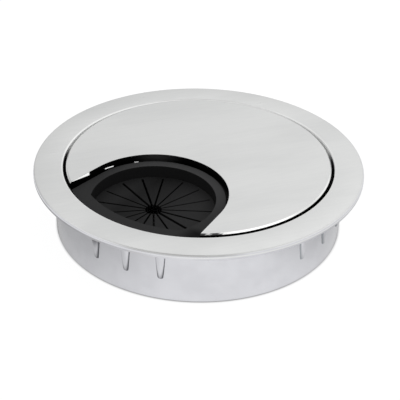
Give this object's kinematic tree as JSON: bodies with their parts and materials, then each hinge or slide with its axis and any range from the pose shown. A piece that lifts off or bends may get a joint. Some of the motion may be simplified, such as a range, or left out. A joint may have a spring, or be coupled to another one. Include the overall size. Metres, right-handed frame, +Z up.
{
  "type": "desk cable grommet",
  "caption": "Round metal desk cable grommet with a flush drop-in cover, a cable cut-out and a black slit insert",
  "frame": {"origin": "on the axis of the barrel, in the plane of its foot", "axes": "+Z up along the barrel's axis towards the cover, -Y towards the mouth of the cable cut-out, +X to the right of someone who faces the mouth"},
  "size_m": [0.09, 0.09, 0.018],
  "materials": {
    "cast_metal": "plated zinc casting, satin on the flange and smooth on the barrel",
    "satin_metal": "satin plated zinc casting with bright bevelled edges",
    "black_moulding": "matt black soft moulding"
  },
  "bodies": {
    "root": {"housing": "cast_metal", "cover": "satin_metal", "slit_insert": "black_moulding"}
  },
  "joints": []
}
